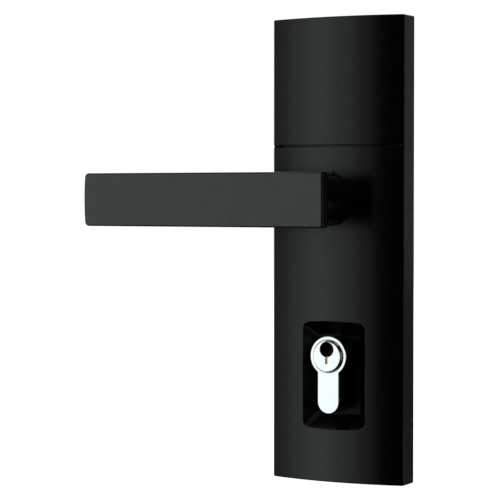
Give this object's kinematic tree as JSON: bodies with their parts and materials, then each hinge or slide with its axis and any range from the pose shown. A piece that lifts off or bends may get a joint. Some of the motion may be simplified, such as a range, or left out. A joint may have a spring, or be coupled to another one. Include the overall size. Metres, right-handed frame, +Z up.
{
  "type": "lever handle lockset",
  "caption": "Outside half of a lever handle lockset: crowned two-piece plate, flat-bar lever on a square spindle, and a half euro-profile pin cylinder.",
  "frame": {"origin": "where the spindle's axis meets the face of the door", "axes": "+X to the right seen from outside, so the lever points to -X; +Y into the door; +Z up"},
  "size_m": [0.1345, 0.0825, 0.199],
  "materials": {
    "black_coat": "black powder coat, fine texture, satin",
    "chrome": "bright satin chrome plate on brass",
    "plug_metal": "chrome plated face, bare brass in the keyway and on the barrel",
    "brass": "turned brass",
    "zinc_steel": "bright zinc plated steel",
    "spring_steel": "drawn spring steel, lightly oiled",
    "cast_zinc": "raw zinc pressure casting",
    "nylon": "natural acetal, moulded"
  },
  "bodies": {
    "plate": {"back_plate": "zinc_steel", "chamber_plug_1": "brass", "chamber_plug_2": "brass", "chamber_plug_3": "brass", "chamber_plug_4": "brass", "chamber_plug_5": "brass", "cover_screw_1": "zinc_steel", "cover_screw_2": "zinc_steel", "cylinder_body": "chrome", "front_plate": "black_coat", "housing_screw_1": "zinc_steel", "housing_screw_2": "zinc_steel", "lower_fixing_pillar": "zinc_steel", "neck_bush": "nylon", "pin_spring_1": "spring_steel", "pin_spring_2": "spring_steel", "pin_spring_3": "spring_steel", "pin_spring_4": "spring_steel", "pin_spring_5": "spring_steel", "plate_screw_1": "zinc_steel", "plate_screw_2": "zinc_steel", "plate_screw_3": "zinc_steel", "plate_screw_4": "zinc_steel", "return_spring": "spring_steel", "spring_housing": "cast_zinc", "thrust_washer": "zinc_steel", "top_cover": "black_coat", "upper_fixing_pillar": "zinc_steel"},
    "lever": {"lever": "black_coat", "lever_grub_screw": "zinc_steel", "spindle": "zinc_steel", "spring_driver": "zinc_steel", "lever_circlip": "spring_steel"},
    "plug": {"cylinder_plug": "plug_metal", "cylinder_cam": "zinc_steel", "plug_circlip": "spring_steel"},
    "driver_pin_1": {"driver_pin_1": "brass"},
    "key_pin_1": {"key_pin_1": "brass"},
    "driver_pin_2": {"driver_pin_2": "brass"},
    "key_pin_2": {"key_pin_2": "brass"},
    "driver_pin_3": {"driver_pin_3": "brass"},
    "key_pin_3": {"key_pin_3": "brass"},
    "driver_pin_4": {"driver_pin_4": "brass"},
    "key_pin_4": {"key_pin_4": "brass"},
    "driver_pin_5": {"driver_pin_5": "brass"},
    "key_pin_5": {"key_pin_5": "brass"}
  },
  "joints": [
    {"name": "lever_turn", "type": "hinge", "parent": "plate", "child": "lever", "pos_m": [0, 0, 0], "axis": [0, -1, 0], "range_deg": [0, 40], "stiffness_Nm_per_rad": 1.2, "springref_deg": -34.38, "deforming": ["return_spring"]},
    {"name": "plug_turn", "type": "hinge", "parent": "plate", "child": "plug", "pos_m": [0, 0, -0.0666], "axis": [0, -1, 0], "continuous": true},
    {"name": "tumbler_driver_1", "type": "slide", "parent": "plate", "child": "driver_pin_1", "axis": [0, 0, -1], "range_m": [0, 0.002], "stiffness_N_per_m": 200, "springref_m": -0.002, "deforming": ["pin_spring_1"]},
    {"name": "tumbler_driver_2", "type": "slide", "parent": "plate", "child": "driver_pin_2", "axis": [0, 0, -1], "range_m": [0, 0.002], "stiffness_N_per_m": 200, "springref_m": -0.002, "deforming": ["pin_spring_2"]},
    {"name": "tumbler_driver_3", "type": "slide", "parent": "plate", "child": "driver_pin_3", "axis": [0, 0, -1], "range_m": [0, 0.002], "stiffness_N_per_m": 200, "springref_m": -0.002, "deforming": ["pin_spring_3"]},
    {"name": "tumbler_driver_4", "type": "slide", "parent": "plate", "child": "driver_pin_4", "axis": [0, 0, -1], "range_m": [0, 0.002], "stiffness_N_per_m": 200, "springref_m": -0.002, "deforming": ["pin_spring_4"]},
    {"name": "tumbler_driver_5", "type": "slide", "parent": "plate", "child": "driver_pin_5", "axis": [0, 0, -1], "range_m": [0, 0.002], "stiffness_N_per_m": 200, "springref_m": -0.002, "deforming": ["pin_spring_5"]},
    {"name": "tumbler_key_1", "type": "slide", "parent": "plug", "child": "key_pin_1", "axis": [0, 0, 1], "range_m": [0, 0.0012]},
    {"name": "tumbler_key_2", "type": "slide", "parent": "plug", "child": "key_pin_2", "axis": [0, 0, 1], "range_m": [0, 0.0012]},
    {"name": "tumbler_key_3", "type": "slide", "parent": "plug", "child": "key_pin_3", "axis": [0, 0, 1], "range_m": [0, 0.0012]},
    {"name": "tumbler_key_4", "type": "slide", "parent": "plug", "child": "key_pin_4", "axis": [0, 0, 1], "range_m": [0, 0.0012]},
    {"name": "tumbler_key_5", "type": "slide", "parent": "plug", "child": "key_pin_5", "axis": [0, 0, 1], "range_m": [0, 0.0012]}
  ]
}
